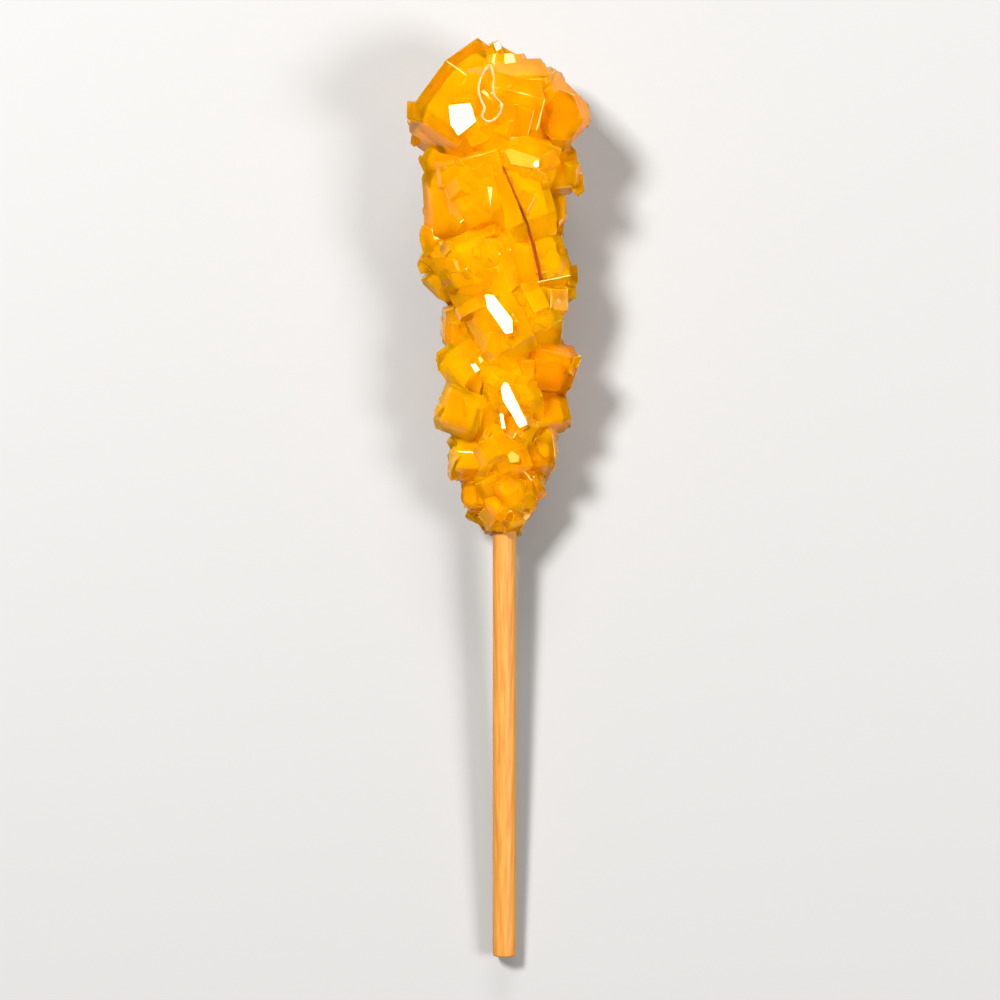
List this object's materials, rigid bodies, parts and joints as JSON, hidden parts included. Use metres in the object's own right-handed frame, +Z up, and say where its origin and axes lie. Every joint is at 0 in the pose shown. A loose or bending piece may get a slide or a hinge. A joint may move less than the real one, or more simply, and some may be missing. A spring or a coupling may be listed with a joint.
{
  "type": "rock candy stick",
  "caption": "Tapering cluster of golden saffron sugar crystals grown round one end of a round wooden stick, with a saffron thread caught in it, lying on its side.",
  "frame": {"origin": "on the surface that the part lies on, under the middle of its bounding box", "axes": "+Z up from that surface; +Y along the part as seen from above, from the stick's bare end to the wide end of the candy; +X to the right seen from above"},
  "size_m": [0.0306, 0.155, 0.0225],
  "materials": {
    "sugar_crystal": "smooth glossy faces of translucent golden rock sugar",
    "wood": "bare, sanded pale wood"
  },
  "bodies": {
    "root": {"candy": "sugar_crystal", "stick": "wood"}
  },
  "joints": []
}
